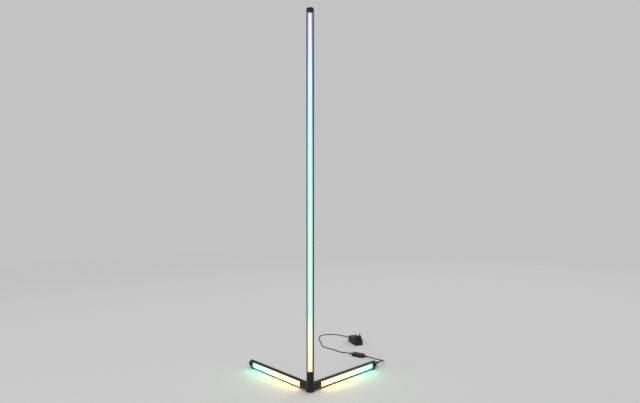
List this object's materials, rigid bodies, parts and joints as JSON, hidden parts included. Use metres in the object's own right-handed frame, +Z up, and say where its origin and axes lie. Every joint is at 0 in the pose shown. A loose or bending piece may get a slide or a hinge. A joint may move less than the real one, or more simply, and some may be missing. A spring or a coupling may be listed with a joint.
{
  "type": "floor lamp",
  "caption": "Corner floor lamp: a slim lit post on a V of two lit floor bars, fed by a plug-in adapter through a small inline controller.",
  "frame": {"origin": "on the floor, at the centre of the hub's rubber foot, under the post's axis", "axes": "+Z up along the post; +Y bisects the open side of the V of floor bars, towards the corner of the room; the light faces outwards, with -Y to the front"},
  "size_m": [0.6116, 0.8183, 1.5],
  "materials": {
    "black_tube": "black anodised extrusion, fine lengthways grain",
    "post_light": "opal diffuser, lit",
    "right_light": "opal diffuser, lit",
    "left_light": "opal diffuser, lit",
    "top_cap_plastic": "fine moulded texture",
    "black_plastic": "fine moulded texture",
    "black_rubber": "matt",
    "bright_aluminium": "mill finish",
    "screw_steel": "black zinc",
    "led_board": "white solder mask",
    "circuit_board": "green solder mask",
    "wire_insulation": "soft plastic",
    "inlet_plastic": "moulded",
    "plug_metal": "nickel plate",
    "cord_cover": "soft satin",
    "housing_plastic": "fine spark texture",
    "button_rubber": "soft silicone",
    "dark_window": "polished dark red"
  },
  "bodies": {
    "root": {"post_section_1": "black_tube", "post_section_2": "black_tube", "post_section_3": "black_tube", "right_bar_tube": "black_tube", "left_bar_tube": "black_tube", "post_diffuser": "post_light", "right_bar_diffuser": "right_light", "left_bar_diffuser": "left_light", "post_top_cap": "top_cap_plastic", "right_bar_end_cap": "black_plastic", "left_bar_end_cap": "black_plastic", "corner_hub": "black_plastic", "hub_cover": "black_plastic", "hub_foot": "black_rubber", "right_bar_foot": "black_rubber", "left_bar_foot": "black_rubber", "post_coupler_1": "bright_aluminium", "post_coupler_2": "bright_aluminium", "post_coupler_screws": "screw_steel", "hub_arm_screws": "screw_steel", "hub_cover_screws": "screw_steel", "post_led_strip": "led_board", "right_bar_led_strip": "led_board", "left_bar_led_strip": "led_board", "junction_board": "circuit_board", "controller_board": "circuit_board", "adapter_board": "circuit_board", "right_ribbon": "wire_insulation", "left_ribbon": "wire_insulation", "post_ribbon": "wire_insulation", "feed_cable": "wire_insulation", "dc_jack": "inlet_plastic", "dc_plug_barrel": "plug_metal", "adapter_pins": "plug_metal", "output_lead": "cord_cover", "adapter_lead": "cord_cover", "dc_plug_body": "cord_cover", "controller_relief_out": "cord_cover", "controller_relief_in": "cord_cover", "adapter_relief": "cord_cover", "controller_lower_shell": "housing_plastic", "controller_upper_shell": "housing_plastic", "adapter_front_shell": "housing_plastic", "adapter_rear_shell": "housing_plastic", "controller_receiver_lens": "dark_window"},
    "power_button": {"controller_button_power": "button_rubber"},
    "mode_button": {"controller_button_mode": "button_rubber"},
    "speed_button": {"controller_button_speed": "button_rubber"}
  },
  "joints": [
    {"name": "power_press", "type": "slide", "parent": "root", "child": "power_button", "axis": [0, 0, -1], "range_m": [0, 0.0005], "stiffness_N_per_m": 3000},
    {"name": "mode_press", "type": "slide", "parent": "root", "child": "mode_button", "axis": [0, 0, -1], "range_m": [0, 0.0005], "stiffness_N_per_m": 3000},
    {"name": "speed_press", "type": "slide", "parent": "root", "child": "speed_button", "axis": [0, 0, -1], "range_m": [0, 0.0005], "stiffness_N_per_m": 3000}
  ]
}
